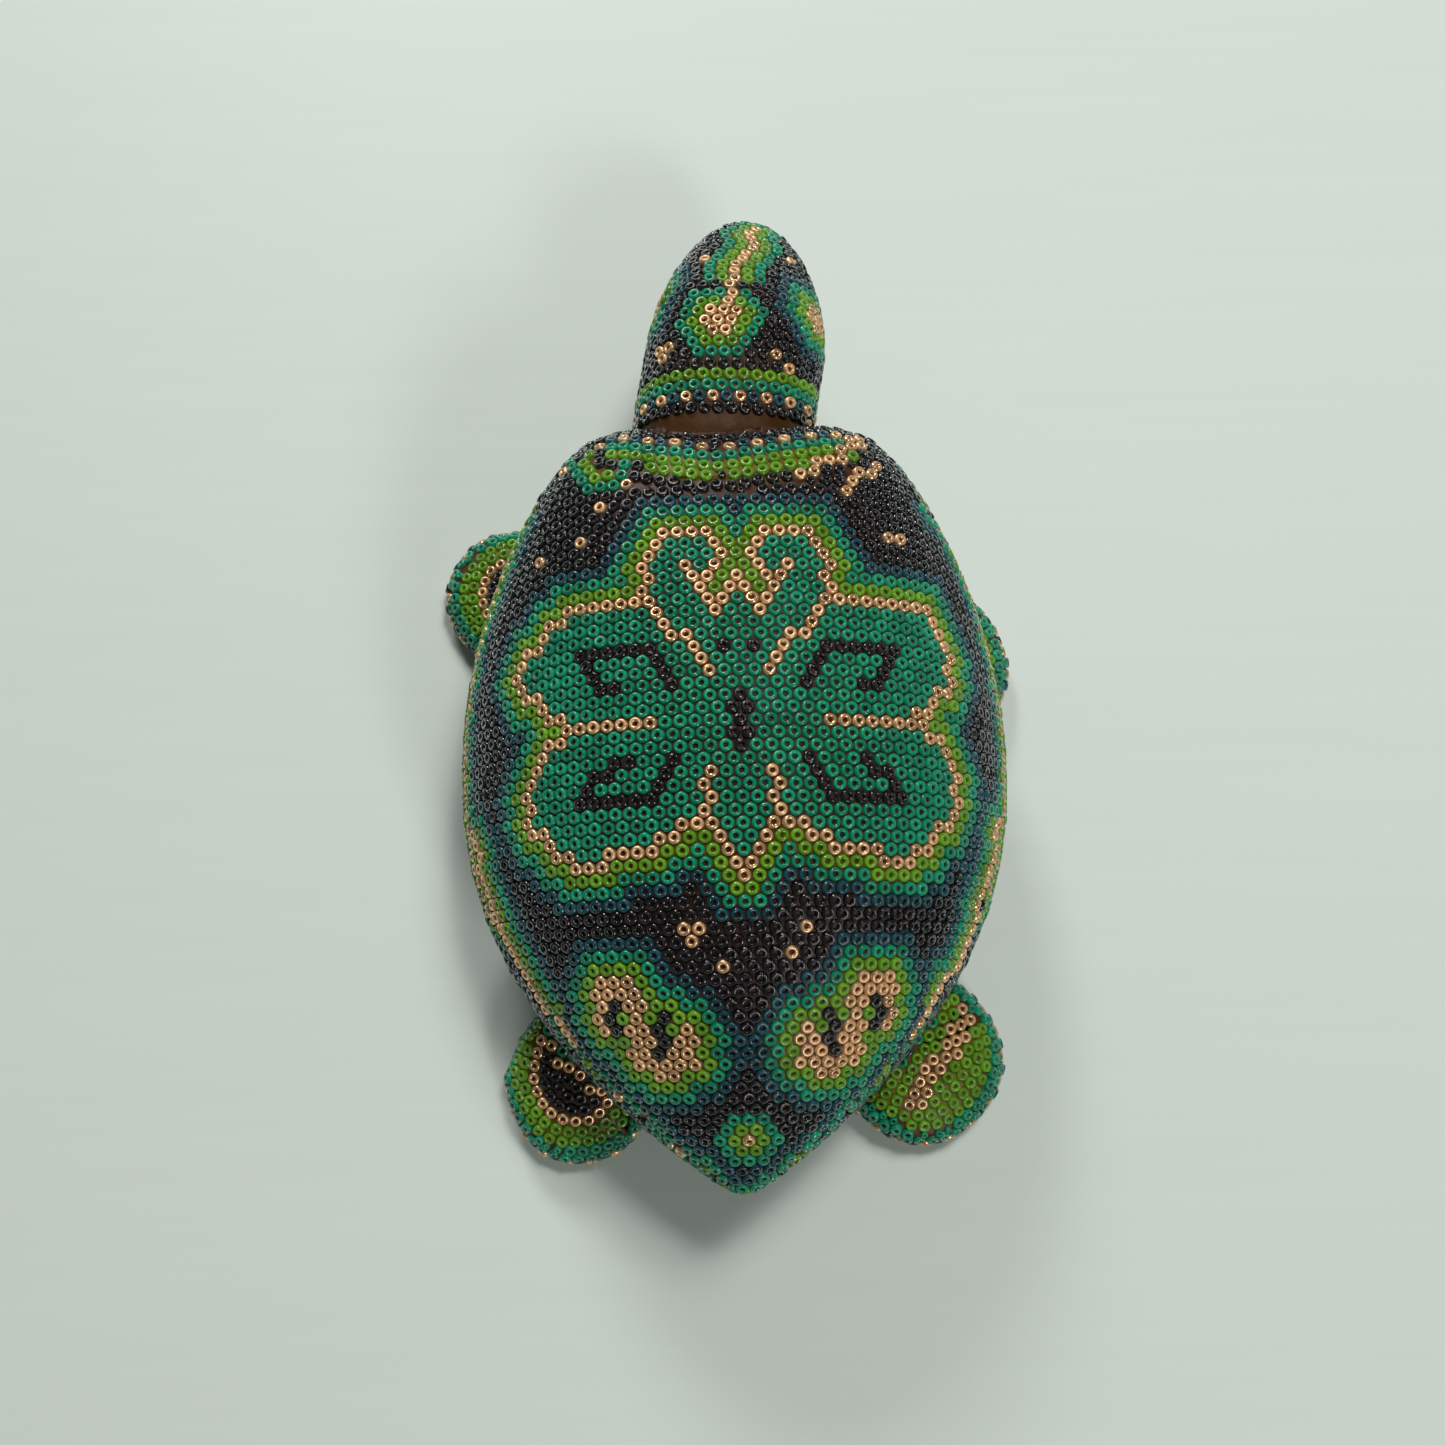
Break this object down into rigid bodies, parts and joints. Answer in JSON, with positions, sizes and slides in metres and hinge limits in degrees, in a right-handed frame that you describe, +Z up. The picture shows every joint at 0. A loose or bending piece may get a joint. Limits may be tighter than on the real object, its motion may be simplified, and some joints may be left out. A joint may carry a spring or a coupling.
{
  "type": "beaded turtle figure",
  "caption": "Small folk-art turtle of carved wood, coated in wax and covered all over with pressed-in glass seed beads, lying flat on its belly.",
  "frame": {"origin": "on the resting plane under the highest point of the shell, in the middle of the belly's flat underside", "axes": "+Y towards the head, +Z up out of the top of the shell, +X to the turtle's right"},
  "size_m": [0.1019, 0.1627, 0.052],
  "materials": {
    "wood": "bare carved softwood, fine grain",
    "wax": "thin coat of dark honey-brown wax, slightly glossy",
    "emerald_glass": "opaque glass beads, glossy",
    "petrol_glass": "opaque dark blue-green glass beads, glossy",
    "black_glass": "opaque black glass beads, glossy",
    "lime_glass": "clear lime green glass beads, glossy",
    "gold_beads": "glass beads with a thin gold-coloured metal coat, glossy"
  },
  "bodies": {
    "root": {"body_core": "wood", "shell_wax": "wax", "belly_wax": "wax", "shell_collar_beads": "gold_beads", "shell_flower_beads": "emerald_glass", "shell_tail_beads": "black_glass", "shell_rim_beads": "petrol_glass", "belly_beads": "emerald_glass", "head_core": "wood", "head_wax": "wax", "head_beads": "black_glass", "front_left_flipper_core": "wood", "front_left_flipper_wax": "wax", "front_left_flipper_beads": "lime_glass", "front_right_flipper_core": "wood", "front_right_flipper_wax": "wax", "front_right_flipper_beads": "lime_glass", "rear_left_flipper_core": "wood", "rear_left_flipper_wax": "wax", "rear_left_flipper_beads": "lime_glass", "rear_right_flipper_core": "wood", "rear_right_flipper_wax": "wax", "rear_right_flipper_beads": "lime_glass"}
  },
  "joints": []
}
